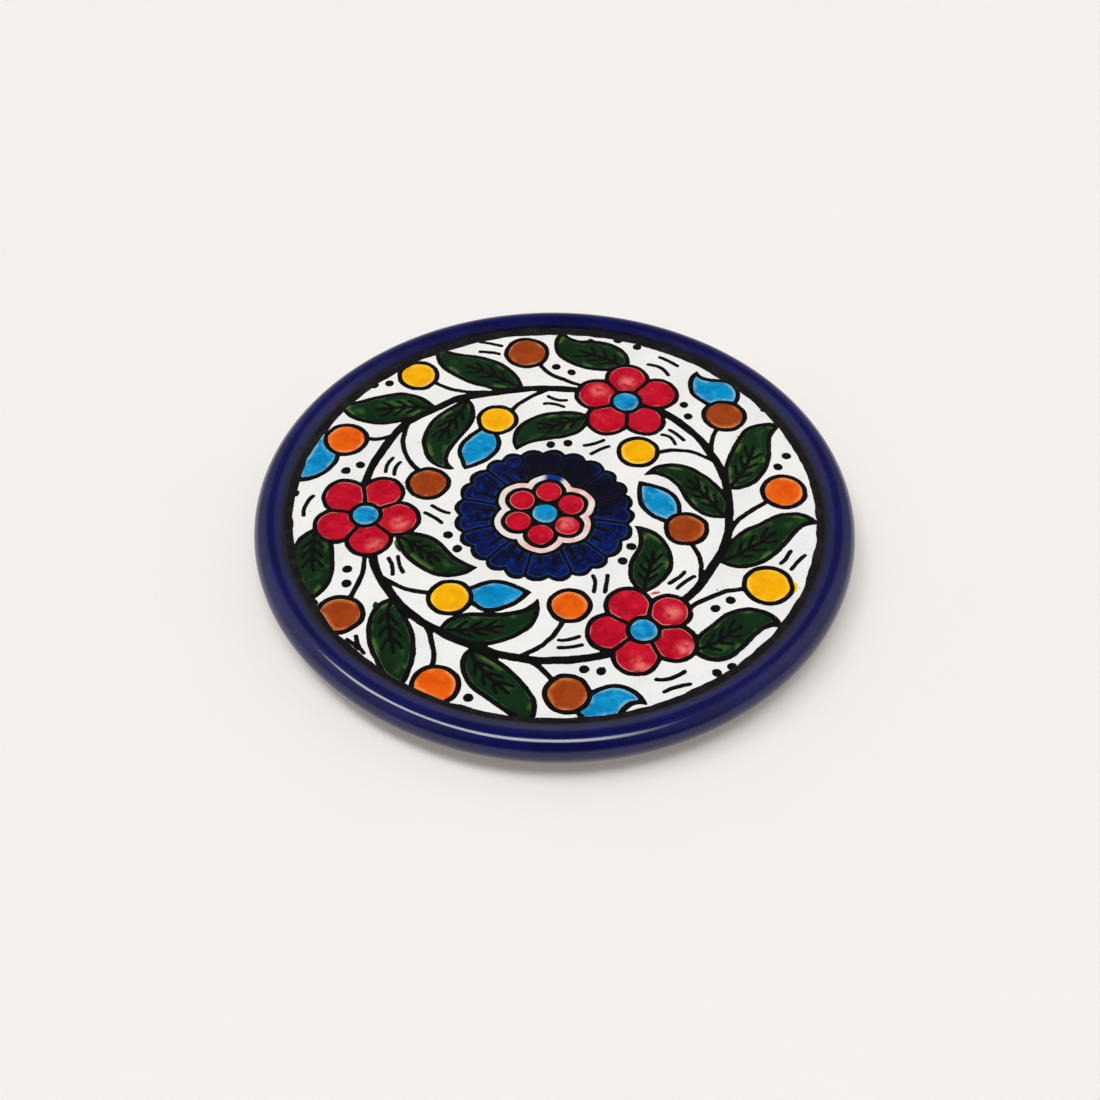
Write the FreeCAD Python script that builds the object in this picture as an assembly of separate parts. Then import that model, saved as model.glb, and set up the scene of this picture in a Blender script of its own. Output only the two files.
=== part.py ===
"""A hand painted ceramic plate: clay, glazes, and the painting as separate thin layers of enamel.

The plate is turned about Z, stands on z = 0 and is +Z up. The painting is laid out in plan, in
millimetres from the plate's axis, with +Y away from the viewer and +X to the right.
"""

import FreeCAD
import Part
import math
import os

Vector = FreeCAD.Vector

# ---------------------------------------------------------------- driving dimensions, millimetres
plate_radius = 76.05        # outer edge of the glazed rim
roll_radius = 4.1           # half the thickness of the rolled rim, over the glaze
roll_drop = 2.77            # centre of the roll below the painted face
cove_radius = 0.8           # fillet where the face runs up into the roll
face_height = 11.0          # painted face above the table
foot_radius = 47.0          # outside of the foot ring
foot_width = 5.0            # width of the foot ring
foot_height = 3.9           # underside above the table, just outside the foot ring
foot_edge_radius = 1.0      # rounding of the foot ring's two lower edges
recess_height = 4.4         # underside above the table, inside the foot ring
glaze_thickness = 0.35      # white, cobalt and clear glazes
glaze_lap = 2.5             # how far the cobalt glaze runs in under the rim
border_width = 2.5          # black ring between the white face and the blue rim
border_shift = (-0.06, -0.50)   # the ring's inner edge is painted a little off centre
enamel_thickness = 0.25     # green, yellow, orange, brown and blue pools of colour
red_thickness = 0.32        # the red enamel stands prouder
line_thickness = 0.22       # black brush work
vein_thickness = 0.08       # dark strokes painted over a fired colour
outline_width = 1.25        # black line round each painted shape
vine_width = 2.1            # main stalks
stem_width = 1.15           # thin stalks of the berries
dash_width = 0.85           # loose dashes
vein_width = 0.8            # veins of the leaves and strokes of the rosette
dot_radius = 1.1            # loose dots
divider_width = 0.9         # radial lines of the rosette

# ---------------------------------------------------------------- the painting's layout
# Each place is in plan, for a white field of this radius; the layout grows or shrinks with the field.
layout_radius = 66.1

# A flower is its core and five petals: (x, y), radius.
flowers = {
    "flower_north": [((18.9, 38.6), 3.35), ((19.3, 47.5), 4.8), ((27.0, 41.8), 4.9), ((23.5, 31.6), 4.6),
                     ((13.9, 31.9), 4.9), ((11.2, 41.3), 4.9)],
    "flower_west": [((-47.7, -3.7), 3.25), ((-53.3, 2.5), 4.95), ((-44.0, 4.0), 4.6), ((-39.8, -5.0), 4.8),
                    ((-46.3, -11.8), 4.8), ((-54.7, -7.4), 4.8)],
    "flower_south": [((21.4, -40.4), 3.2), ((18.0, -33.0), 4.9), ((27.8, -34.7), 4.4), ((28.5, -44.3), 4.7),
                     ((19.3, -48.2), 4.8), ((13.2, -41.2), 4.8)],
}

# A berry is round: (x, y), radius.
berries = {
    "berry_yellow_1": ((-37.3, 48.2), 4.5),
    "berry_yellow_2": ((-15.4, 31.2), 4.4),
    "berry_yellow_3": ((21.6, 19.6), 4.35),
    "berry_yellow_4": ((52.1, -26.0), 5.1),
    "berry_yellow_5": ((-25.3, -30.7), 4.45),
    "berry_orange_1": ((-54.9, 23.3), 4.8),
    "berry_orange_2": ((58.5, 5.7), 4.85),
    "berry_orange_3": ((3.7, -32.9), 4.3),
    "berry_orange_4": ((-27.5, -57.3), 4.75),
    "berry_brown_1": ((-8.0, 57.9), 4.95),
    "berry_brown_2": ((44.9, 33.5), 4.8),
    "berry_brown_3": ((-32.5, 7.5), 4.45),
    "berry_brown_4": ((33.0, -7.4), 4.5),
    "berry_brown_5": ((-51.5, -36.3), 4.8),
    "berry_brown_6": ((3.1, -59.6), 4.6),
}

# A leaf or bud has a base, the points of its left and right edges on the way to the tip, the tip,
# and the place where the brush left its outline, if that is drawn out past the tip.
leaves = {
    "leaf_01": ((-10, 44.3), [(-14, 43.8), (-20, 45.4), (-26, 48.6), (-30.5, 52.8)],
                [(-12.2, 49), (-15, 52.2), (-20, 54.8), (-27, 56.3)], (-31.9, 58.2), None),
    "leaf_02": ((-33, 35.5), [(-35, 33.8), (-39, 32), (-45, 30.4), (-51, 31.2)],
                [(-36.5, 38.6), (-41, 40.2), (-46, 39.2), (-51, 37.4)], (-56.4, 35.7), None),
    "leaf_03": ((-23.6, 38), [(-22.6, 34), (-23.2, 30), (-26.5, 24), (-28.8, 19)],
                [(-27, 35.5), (-31, 31.4), (-33.4, 26), (-33, 19)], (-28.6, 13.5), (-25.8, 13.1)),
    "leaf_04": ((17.8, 52.3), [(11, 52.2), (6, 53.8), (2.5, 56.5), (0.8, 60.5)],
                [(18.8, 56.5), (16, 60), (11, 61.9), (6, 62.1)], (1.9, 64.9), (2.5, 68)),
    "leaf_05": ((7.8, 32.6), [(6.8, 29.2), (4, 26.7), (-0.5, 25.2), (-5.5, 24.2)],
                [(3.5, 33.6), (-2, 32.9), (-7, 30.2), (-9.5, 26.4)], (-9.9, 22.2), (-9.9, 20)),
    "leaf_06": ((45.4, 7.5), [(44.8, 10.5), (45.6, 16), (47.8, 22), (50.9, 27.4)],
                [(49, 8.4), (52.7, 12.4), (54.9, 18), (55.4, 24)], (57.6, 29.4), (60.3, 30.6)),
    "leaf_07": ((42.5, -2.5), [(38.5, -1.8), (35.2, 1.5), (33, 6.3), (30, 10.8)],
                [(43.1, 1), (41.5, 5.8), (38, 10.5), (32, 14.1)], (25.8, 13), (22.8, 11)),
    "leaf_08": ((41.7, -17.8), [(43.5, -14), (47.5, -9.2), (53, -5.6), (59, -2.8)],
                [(46, -19.2), (51, -17.6), (55, -14), (59, -8.6)], (64.3, -4), (66.6, -5.4)),
    "leaf_09": ((21.8, -27.7), [(19.5, -24), (19.3, -21.5), (20.5, -17), (22, -13)],
                [(24.5, -25.5), (27.5, -21), (28, -16.5), (26, -11.3)], (21.9, -8.3), (20.2, -6.7)),
    "leaf_10": ((34, -46), [(34.5, -43.5), (37.5, -40), (42, -36), (46.8, -34.3)],
                [(36.5, -48.2), (40.5, -47.8), (44, -44.8), (47.5, -40.6)], (52.4, -37.5), (55, -39.4)),
    "leaf_11": ((-38.6, -11), [(-35.5, -10.5), (-31.5, -11.8), (-28, -15), (-25, -18.5)],
                [(-37.8, -13.5), (-35, -18), (-31, -21.5), (-26.5, -22.9)], (-21, -20.9), (-18.8, -20.8)),
    "leaf_12": ((-60.2, -9.8), [(-57, -12.3), (-55.5, -18), (-55.3, -24)],
                [(-63, -13), (-64.2, -17.5), (-63.6, -22), (-61.5, -27)], (-58.4, -30), None),
    "leaf_13": ((-39.2, -32.3), [(-37.5, -35.5), (-35, -40.5), (-33.9, -47), (-34.4, -52.5)],
                [(-42, -34.5), (-43.6, -39.5), (-42.8, -45), (-40.2, -51.5)], (-36.3, -57.5), None),
    "leaf_14": ((-26.5, -41.2), [(-24.3, -38.3), (-20.5, -36.6), (-15, -36.8), (-10, -36.3)],
                [(-23.5, -43.3), (-18, -44.4), (-12, -43), (-7, -39.6)], (-4.9, -34.2), (-4.1, -30.8)),
    "leaf_15": ((-19.7, -47.8), [(-16.5, -48.9), (-12, -52.4), (-7.6, -57.3), (-5.2, -62)],
                [(-20.7, -51.5), (-19, -56.5), (-14.5, -60.7), (-10.3, -64)], (-6.3, -67.3), None),
}
buds = {
    "bud_1": ((44.5, 36.5), [(40.5, 39.2), (38.1, 41.9), (37.2, 44.8)],
              [(47.8, 39.3), (48.3, 43), (46, 46.2), (41.8, 46.9)], (38.2, 48.8), (38.5, 51)),
    "bud_2": ((-18.5, 28), [(-15.8, 24), (-15.7, 20.5), (-17.6, 17.6)],
              [(-22.3, 24), (-24.2, 20), (-23.7, 17)], (-22.9, 14.3), (-23.3, 12.7)),
    "bud_3": ((30, -5.5), [(26.5, -3.6), (23.6, -0.8), (22.3, 3)],
              [(30.9, -1.5), (30.6, 2), (28.2, 5)], (22.4, 7.2), (21.7, 9)),
    "bud_4": ((-57, 24.5), [(-57.3, 19.5), (-57.6, 16), (-59.3, 12.4)],
              [(-61, 25), (-65, 21), (-66.5, 15)], (-65, 9.4), None),
    "bud_5": ((-23, -30.2), [(-18.5, -27.5), (-14, -26.1), (-10, -27.3)],
              [(-19.8, -31.7), (-16.5, -33.8), (-12.5, -33.3)], (-7.6, -29), (-5.6, -29)),
    "bud_6": ((5.5, -62), [(8.5, -60.3), (12, -58.2), (16, -58.3)],
              [(8, -66.5), (12, -67), (15, -64.2)], (19.8, -61.1), (21.6, -62.5)),
}

# Each brush stroke is the line that the middle of the brush followed.
vines = [
    [(6, 43.2), (0, 43.5), (-8, 43.3), (-14, 42.3), (-20, 40.8), (-27, 38.8), (-32, 35.5), (-37, 31.8),
     (-41, 27.5), (-44.8, 20), (-47.7, 12), (-48.8, 7.5)],
    [(-45.2, -15.5), (-44.3, -20), (-42.8, -24), (-40.3, -28.5), (-35.5, -35), (-28, -41), (-20, -45.3),
     (-10, -48.9), (0, -49.9), (6, -49.3), (14.5, -47)],
    [(27, 35.7), (31, 32.8), (34.5, 29), (37.5, 25.3), (39.8, 21), (41.8, 16.5), (43.6, 10), (44.3, 4),
     (44.2, -2), (43.5, -8), (41.8, -14), (39.5, -19), (34.3, -27.7), (31, -31.6)],
]
stems = [
    [(-33, 46), (-29.5, 43.5), (-26, 42.3), (-22, 41.9), (-17, 41.8)],
    [(-4.6, 53.5), (-2.8, 50.9), (0, 48.3), (3, 46.6), (7.5, 45)],
    [(-11.6, 34.6), (-9, 38.3), (-6, 40.8), (-1.5, 43.1)],
    [(-49.6, 24), (-46, 23.6), (-43.3, 24.8), (-40.8, 27.4)],
    [(-38.6, 30), (-39.9, 24), (-39.5, 20), (-38, 16), (-35.4, 12.2)],
    [(43, 28.6), (41.3, 25), (40.8, 22), (41.2, 18.6)],
    [(26.5, 19.4), (30, 20.2), (34, 20.1), (38, 18.6), (41.2, 16.4)],
    [(53.8, 2.2), (50.2, -0.6), (47.3, -3.2), (45, -6.2), (43.4, -9.6)],
    [(33.9, -12.4), (35.6, -16), (36.2, -19), (36, -22.5), (35.4, -26)],
    [(46.6, -27), (42, -28), (38, -29.6), (34.5, -32), (32.6, -33.8)],
    [(-47.2, -16.2), (-46.9, -20), (-47.2, -24), (-48.3, -28), (-49.6, -31.4)],
    [(-42.3, -24), (-39.5, -26.3), (-36.5, -28), (-33, -28.9), (-30, -29.2)],
    [(-31, -39.3), (-29.2, -43.5), (-28.5, -47), (-28.3, -52.8)],
    [(2.2, -37.6), (0.8, -41), (-1.5, -44), (-4.5, -46.5), (-8.5, -49.2)],
    [(-6.5, -49.6), (-3.5, -51.8), (-0.8, -55.2)],
]
dashes = [
    [(-21, 62.1), (-18, 61.5), (-15.2, 60.6)], [(-20.9, 58.2), (-18, 57.9), (-15.6, 57.4)],
    [(-2, 40.4), (0.3, 39.2), (3.1, 39)], [(-3, 37.6), (0.2, 37.5), (2.3, 36.5)],
    [(28.6, 56.5), (30.4, 55.3), (33.4, 53)], [(25.4, 53.6), (28.4, 52.5), (30.8, 49.4)],
    [(30.2, 28), (31.8, 26.8), (33.8, 24.2)], [(28.2, 26.1), (30, 25.5), (31.5, 22.7)],
    [(-42.2, 16.5), (-43.4, 14), (-43.8, 11.6)], [(-40.2, 15), (-41.2, 13), (-41.5, 10.7)],
    [(-61.7, 2.7), (-63.1, 0), (-63.2, -4)],
    [(-31.1, -0.3), (-29, -1.9), (-26.8, -2.8)], [(-32.8, -2.8), (-30.5, -4.2), (-28.4, -6.1)],
    [(-40.9, -18.3), (-40, -20.3), (-39.6, -23.4)], [(-38.5, -17.6), (-38.2, -20), (-37, -22.7)],
    [(7.7, 21.8), (10, 22.6), (12.6, 24)], [(9.4, 18.8), (11.8, 20.6), (13.9, 21.6)],
    [(58.6, -14.6), (57.3, -16.8), (55.7, -18.8)], [(62.1, -16.1), (60.2, -18), (58.2, -20.6)],
    [(-47, -43.2), (-46.3, -45.5), (-44.7, -48.2)], [(-49.0, -44.0), (-47.6, -45.3), (-46.1, -46.9)],
    [(9.4, -23.5), (9.8, -26), (9.6, -28.4)], [(13, -23), (12.6, -25.8), (12.3, -28.6)],
    [(1.3, -43.6), (3.5, -43.5), (5.8, -42.6)], [(1.2, -46), (4, -45.8), (6.5, -45)],
    [(28.1, -25.5), (30, -24), (31.8, -22)], [(30, -27.1), (32, -24.8), (34.2, -23.4)],
    [(23.7, -55), (27, -54.9), (30.5, -52.8)], [(25.5, -58.6), (28.5, -57.3), (31.8, -56.4)],
]
dots = [
    (-45, 45), (-48.9, 44.3), (0.2, 52.3), (4.3, 50.1), (17.2, 63.4), (22.5, 60.5), (34.3, 37.7), (35.3, 33.1),
    (-50.5, 14), (-54, 11.8), (-26.7, -10.4), (-24.1, -14.8), (-50.8, -22), (-50.6, -26.7), (-1.3, 22),
    (3.4, 22.6), (19, -13.7), (16.9, -18.5), (60.2, 18.7), (57.8, 14.6), (-19.7, -61), (7.2, -52.4),
    (11, -52.8), (42.7, -30.9), (38.8, -33.4), (38, -53.1), (41.8, -51.1),
]

# The rosette: a blue ring of scallops in pairs, a white band, six red petals and a blue core.
rosette_centre = (-2.6, -2.6)
rosette_divider_angles = [19, 45, 76, 107, 135, 167, 198, 228, 257, 289, 317, 351]
scallop_cusp_radius = 20.3
scallop_crown_radius = 21.7
rosette_petal_centres = [(-1.5, 5.0), (4.1, 0.5), (3.2, -6.8), (-3.5, -9.9), (-9.2, -5.4), (-8.3, 1.9)]
rosette_petal_radius = 3.15
rosette_core = ((-2.5, -2.6), 3.1)
band_inner_gap = 1.3        # black line between a small petal and the white band
band_width = 1.5            # width of the white band
band_outer_gap = 1.1        # black line between the white band and the blue ring
rosette_stroke_span = (12.6, 17.2)      # distances of a stroke's two ends from the rosette's centre

# Veins of a leaf, as shares of its length and of the way from its middle to its edge.
midrib_shares = (0.0, 0.62)
side_vein_shares = (0.16, 0.30, 0.44)
side_vein_advance = 0.13
side_vein_reach = 0.58

# ---------------------------------------------------------------- sizes that follow
roll_centre = (plate_radius - roll_radius, face_height - roll_drop)
cove_reach = math.sqrt((roll_radius + cove_radius) ** 2 - (roll_drop + cove_radius) ** 2)
cove_centre = (roll_centre[0] - cove_reach, face_height + cove_radius)
field_radius = cove_centre[0] - border_width
clay_face_height = face_height - glaze_thickness
foot_inner_radius = foot_radius - foot_width
layout_scale = field_radius / layout_radius
full_turn = 360


# ---------------------------------------------------------------- the section of the turned pieces

def on_circle(centre, radius, angle):
    """A (radius, height) point on a circle of the section; the angle is in degrees from outwards."""
    turn = math.radians(angle)
    return (centre[0] + radius * math.cos(turn), centre[1] + radius * math.sin(turn))


# The underside is the line from the foot ring that is tangent to the roll from below.
foot_to_roll = math.hypot(roll_centre[0] - foot_radius, roll_centre[1] - foot_height)
underside_slope = (math.degrees(math.atan2(roll_centre[1] - foot_height, roll_centre[0] - foot_radius))
                   - math.degrees(math.asin(roll_radius / foot_to_roll)))
underside_angle = underside_slope - 90
cove_angle = math.degrees(math.atan2(cove_centre[1] - roll_centre[1], cove_centre[0] - roll_centre[0]))
lap_radius = on_circle(roll_centre, roll_radius, underside_angle)[0] - glaze_lap


def underside(radius, depth):
    """A (radius, height) point of the underside, a depth inside the glazed surface."""
    slope = math.radians(underside_slope)
    height = foot_height + (radius - foot_radius) * math.tan(slope) + depth / math.cos(slope)
    return (radius, height)


def rim_chain(depth):
    """The cove and the roll, a depth inside the glazed surface, from the face to the underside."""
    roll = roll_radius - depth
    cove = cove_radius + depth
    cove_start = on_circle(cove_centre, cove, -90)
    cove_end = on_circle(cove_centre, cove, cove_angle - 180)
    roll_end = on_circle(roll_centre, roll, underside_angle)
    cove_middle = on_circle(cove_centre, cove, (cove_angle - 180 - 90) / 2)
    roll_middle = on_circle(roll_centre, roll, (cove_angle + underside_angle) / 2)
    return [(cove_start, cove_middle, cove_end), (cove_end, roll_middle, roll_end)]


def closed_section(pieces):
    """A face of the XZ plane from lines, given by two (radius, height) points, and arcs, by three."""
    edges = []
    for piece in pieces:
        ends = [Vector(radius, 0, height) for radius, height in piece]
        edge = Part.Arc(*ends) if len(ends) == 3 else Part.LineSegment(*ends)
        edges.append(edge.toShape())
    return Part.Face(Part.Wire(Part.__sortEdges__(edges)))


def turned(pieces):
    return closed_section(pieces).revolve(Vector(0, 0, 0), Vector(0, 0, 1), full_turn)


def clay_body():
    """The disc with its rolled rim, its sloping underside and its foot ring."""
    rim = rim_chain(glaze_thickness)
    foot_top = underside(foot_radius, glaze_thickness)
    recess = recess_height + glaze_thickness
    edge = foot_edge_radius
    corner = edge * (1 - math.sqrt(0.5))
    return turned([
        ((0, clay_face_height), rim[0][0]),
        *rim,
        (rim[1][2], foot_top),
        (foot_top, (foot_radius, edge)),
        ((foot_radius, edge), (foot_radius - corner, corner), (foot_radius - edge, 0)),
        ((foot_radius - edge, 0), (foot_inner_radius + edge, 0)),
        ((foot_inner_radius + edge, 0), (foot_inner_radius + corner, corner), (foot_inner_radius, edge)),
        ((foot_inner_radius, edge), (foot_inner_radius, recess)),
        ((foot_inner_radius, recess), (0, recess)),
        ((0, recess), (0, clay_face_height)),
    ])


def rim_glaze():
    """The cobalt skin over cove and roll, lapped in under the rim."""
    outside, inside = rim_chain(0), rim_chain(glaze_thickness)
    lap_out, lap_in = underside(lap_radius, 0), underside(lap_radius, glaze_thickness)
    return turned([
        *outside,
        (outside[1][2], lap_out),
        (lap_out, lap_in),
        (lap_in, inside[1][2]),
        *inside,
        (inside[0][0], outside[0][0]),
    ])


def underside_glaze():
    corners = [underside(foot_radius, 0), underside(lap_radius, 0),
               underside(lap_radius, glaze_thickness), underside(foot_radius, glaze_thickness)]
    return turned(list(zip(corners, corners[1:] + corners[:1])))


def flat_glaze(radius, bottom):
    return Part.makeCylinder(radius, glaze_thickness, Vector(0, 0, bottom))


# ---------------------------------------------------------------- drawing in the plane

drawing_plane = Part.Plane()


def at(point):
    """A place of the layout, in the plane of the drawing."""
    return Vector(point[0] * layout_scale, point[1] * layout_scale, 0)


def drawn_face(edges):
    """A face inside closed edges. All faces lie on one plane, so that they can be joined."""
    return Part.Face(drawing_plane, Part.Wire(Part.__sortEdges__(edges)))


def round_face(centre, radius):
    return drawn_face([Part.Circle(centre, Vector(0, 0, 1), radius).toShape()])


def spline(points):
    curve = Part.BSplineCurve()
    curve.interpolate(points)
    return curve


def beside(curve, share, distance):
    """The point at a share of a curve's length, moved a distance to the left of its direction."""
    parameter = curve.FirstParameter + share * (curve.LastParameter - curve.FirstParameter)
    tangent = curve.tangent(parameter)[0]
    return curve.value(parameter) + Vector(-tangent.y, tangent.x, 0) * distance


def brush_stroke(middle_points, width):
    """A stroke with round ends, of one width, along a smooth line through the given vectors."""
    middle = spline(middle_points)
    steps = 2 * len(middle_points)
    half = width / 2
    left = [beside(middle, step / steps, half) for step in range(steps + 1)]
    right = [beside(middle, step / steps, -half) for step in range(steps + 1)]
    start_cap = beside(middle, 0, 0) - middle.tangent(middle.FirstParameter)[0] * half
    end_cap = beside(middle, 1, 0) + middle.tangent(middle.LastParameter)[0] * half
    return drawn_face([
        spline(left).toShape(),
        Part.Arc(left[-1], end_cap, right[-1]).toShape(),
        spline(right).toShape(),
        Part.Arc(right[0], start_cap, left[0]).toShape(),
    ])


def bar(middle, direction, length, width):
    """A rectangle round its middle, with its length along a unit direction."""
    across = Vector(-direction.y, direction.x, 0) * (width / 2)
    along = direction * (length / 2)
    corners = [middle - along - across, middle + along - across,
               middle + along + across, middle - along + across]
    return drawn_face(Part.makePolygon(corners + corners[:1]).Edges)


def pointed_edges(shape):
    """The two edges of a leaf or bud, left and right, from its base to its tip."""
    base, *sides, tip = shape[:4]
    return [spline([at(base)] + [at(point) for point in side] + [at(tip)]) for side in sides]


def pointed_face(shape):
    return drawn_face([edge.toShape() for edge in pointed_edges(shape)])


def pointed_outline(shape):
    """A leaf or bud with the width of its outline added, drawn out to a point past the tip."""
    base, tip, line_tip = shape[0], *shape[3:]
    edges = pointed_edges(shape)
    forward = at(tip) * 2 - beside(edges[0], 0.85, 0) - beside(edges[1], 0.85, 0)
    backward = at(base) * 2 - beside(edges[0], 0.15, 0) - beside(edges[1], 0.15, 0)
    end = at(line_tip) if line_tip else at(tip) + forward.normalize() * outline_width * 1.4
    start = at(base) + backward.normalize() * outline_width
    shares = [0.12, 0.25, 0.38, 0.50, 0.62, 0.75, 0.90]
    outline = []
    for edge, side in zip(edges, (1, -1)):
        points = [beside(edge, share, side * outline_width) for share in shares]
        outline.append(spline([start] + points + [end]).toShape())
    return drawn_face(outline)


def joined(faces):
    """One region of the plane from faces that may overlap."""
    return faces[0].multiFuse(faces[1:]).removeSplitter()


def layer(region, bottom, thickness):
    """Solids of one thickness that stand on a height, one for each face of a region of the plane."""
    solids = []
    for face in region.Faces:
        raised = face.translated(Vector(0, 0, bottom))
        solids.append(raised.extrude(Vector(0, 0, thickness)))
    return solids[0] if len(solids) == 1 else Part.Compound(solids)


# ---------------------------------------------------------------- the painting, in plan

field = round_face(Vector(border_shift[0], border_shift[1], 0), field_radius)


def petal_divider(petal, neighbour):
    """The black line between two petals: a bar along the chord where their circles meet."""
    (here, radius), (there, other_radius) = petal, neighbour
    across = at(there) - at(here)
    span = across.Length
    reach = (span ** 2 + (radius ** 2 - other_radius ** 2) * layout_scale ** 2) / (2 * span)
    across.normalize()
    chord_direction = Vector(-across.y, across.x, 0)
    return bar(at(here) + across * reach, chord_direction, 2 * radius * layout_scale, outline_width)


def paint_flower(core, petals):
    """The fills of a flower's petals and core, and its whole outline."""
    core_disc = round_face(at(core[0]), core[1] * layout_scale)
    core_outline = round_face(at(core[0]), core[1] * layout_scale + outline_width)
    outlines = [core_outline]
    fills = []
    for number, petal in enumerate(petals):
        centre, radius = petal
        cuts = [petal_divider(petal, petals[number - 1]), petal_divider(petal, petals[number - 4])]
        fills.append(round_face(at(centre), radius * layout_scale).cut([core_outline] + cuts))
        outlines.append(round_face(at(centre), radius * layout_scale + outline_width))
    return fills, core_disc, outlines


def paint_veins(leaf):
    """Strokes of a midrib and of the side veins that leave it, in pairs."""
    left, right = pointed_edges(leaf)

    def inside(share, way):
        """A point of the leaf: way is 0 on the middle line, 1 on the left edge, -1 on the right edge."""
        middle = (beside(left, share, 0) + beside(right, share, 0)) * 0.5
        edge = beside(left if way > 0 else right, share, 0)
        return middle + (edge - middle) * abs(way)

    first, last = midrib_shares
    strokes = [brush_stroke([inside(first + (last - first) * step / 3, 0) for step in range(4)], vein_width)]
    for share in side_vein_shares:
        for way in (side_vein_reach, -side_vein_reach):
            bend = inside(share + side_vein_advance * 0.5, way * 0.6)
            strokes.append(brush_stroke([inside(share, 0), bend, inside(share + side_vein_advance, way)],
                                        vein_width * 0.85))
    return strokes


def scallops(extra):
    """The rosette's edge: two rounded scallops between each pair of dividers, extra wider all round."""
    angles = rosette_divider_angles + [rosette_divider_angles[0] + full_turn]
    cusps = []
    for here, there in zip(angles, angles[1:]):
        cusps += [here, (here + there) / 2]
    cusps.append(cusps[0] + full_turn)

    def place(radius, angle):
        turn = math.radians(angle)
        reach = radius * layout_scale + extra
        return at(rosette_centre) + Vector(math.cos(turn), math.sin(turn), 0) * reach

    edges = [Part.Arc(place(scallop_cusp_radius, here), place(scallop_crown_radius, (here + there) / 2),
                      place(scallop_cusp_radius, there)).toShape() for here, there in zip(cusps, cusps[1:])]
    return drawn_face(edges)


def rosette_spoke(angle, inner, outer, width):
    turn = math.radians(angle)
    direction = Vector(math.cos(turn), math.sin(turn), 0)
    middle = at(rosette_centre) + direction * ((inner + outer) / 2 * layout_scale)
    return bar(middle, direction, (outer - inner) * layout_scale, width)


def paint_rosette():
    """Regions of the ring, its strokes, the band, the petals, the core and the black lines."""
    def petal_rings(extra):
        return joined([round_face(at(centre), rosette_petal_radius * layout_scale + extra)
                       for centre in rosette_petal_centres + [rosette_centre]])

    band_in = petal_rings(band_inner_gap)
    band_out = petal_rings(band_inner_gap + band_width)
    ring_in = petal_rings(band_inner_gap + band_width + band_outer_gap)
    petals = [round_face(at(centre), rosette_petal_radius * layout_scale) for centre in rosette_petal_centres]
    core = round_face(at(rosette_core[0]), rosette_core[1] * layout_scale)
    spokes = [rosette_spoke(angle, 0, scallop_crown_radius + 1, divider_width)
              for angle in rosette_divider_angles]
    ring = scallops(0).cut([ring_in] + spokes)
    band = band_out.cut(band_in)
    lines = scallops(outline_width).cut([ring, band] + petals + [core])
    angles = rosette_divider_angles + [rosette_divider_angles[0] + full_turn]
    strokes = []
    for here, there in zip(angles, angles[1:]):
        for share in (0.30, 0.70):
            angle = here + (there - here) * share
            strokes.append(rosette_spoke(angle, *rosette_stroke_span, vein_width))
    return ring, strokes, band, petals, core, lines


parts = {
    "clay_body": clay_body(),
    "rim_glaze": rim_glaze(),
    "underside_glaze": underside_glaze(),
    "recess_glaze": flat_glaze(foot_inner_radius, recess_height),
    "ground_glaze": flat_glaze(cove_centre[0], clay_face_height),
}

border = round_face(Vector(0, 0, 0), cove_centre[0]).cut(field)
parts["border_line"] = layer(border, face_height, line_thickness)

# Flowers and berries are painted first; stalks, then leaves and buds, go behind them.
fills = []
front_outlines = []
for name, blobs in flowers.items():
    petal_fills, core_disc, outlines = paint_flower(blobs[0], blobs[1:])
    parts[name + "_petals"] = Part.Compound([layer(fill, face_height, red_thickness) for fill in petal_fills])
    parts[name + "_core"] = layer(core_disc, face_height, enamel_thickness)
    fills += petal_fills + [core_disc]
    front_outlines += outlines

for name, (centre, radius) in berries.items():
    berry = round_face(at(centre), radius * layout_scale).common(field)
    parts[name] = layer(berry, face_height, enamel_thickness)
    fills.append(berry)
    front_outlines.append(round_face(at(centre), radius * layout_scale + outline_width))

stalks = [brush_stroke([at(point) for point in vine], vine_width) for vine in vines]
stalks += [brush_stroke([at(point) for point in stem], stem_width) for stem in stems]

for name, bud in buds.items():
    colour = pointed_face(bud).common(field).cut(front_outlines)
    parts[name] = layer(colour, face_height, enamel_thickness)
    fills.append(colour)

vein_strokes = []
for name, leaf in leaves.items():
    colour = pointed_face(leaf).common(field).cut(front_outlines + stalks)
    colour = max(colour.Faces, key=lambda face: face.Area)
    parts[name] = layer(colour, face_height, enamel_thickness)
    fills.append(colour)
    vein_strokes.append(joined(paint_veins(leaf)).common(colour))

veins = Part.Compound(vein_strokes)
parts["leaf_veins"] = layer(veins, face_height + enamel_thickness, vein_thickness)

ring, ring_strokes, band, small_petals, small_core, rosette_lines = paint_rosette()
parts["rosette_ring"] = layer(ring, face_height, enamel_thickness)
stroke_marks = Part.Compound([stroke.common(ring) for stroke in ring_strokes])
parts["rosette_strokes"] = layer(stroke_marks, face_height + enamel_thickness, vein_thickness)
parts["rosette_band"] = layer(band, face_height, enamel_thickness)
parts["rosette_petals"] = Part.Compound([layer(petal, face_height, red_thickness) for petal in small_petals])
parts["rosette_core"] = layer(small_core, face_height, enamel_thickness)
parts["rosette_lines"] = layer(rosette_lines, face_height, line_thickness)

pointed_outlines = [pointed_outline(shape) for shape in list(leaves.values()) + list(buds.values())]
lines = joined(front_outlines + pointed_outlines + stalks)
line_region = lines.common(field).cut(fills + [scallops(outline_width)])
parts["line_work"] = layer(line_region, face_height, line_thickness)

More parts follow.
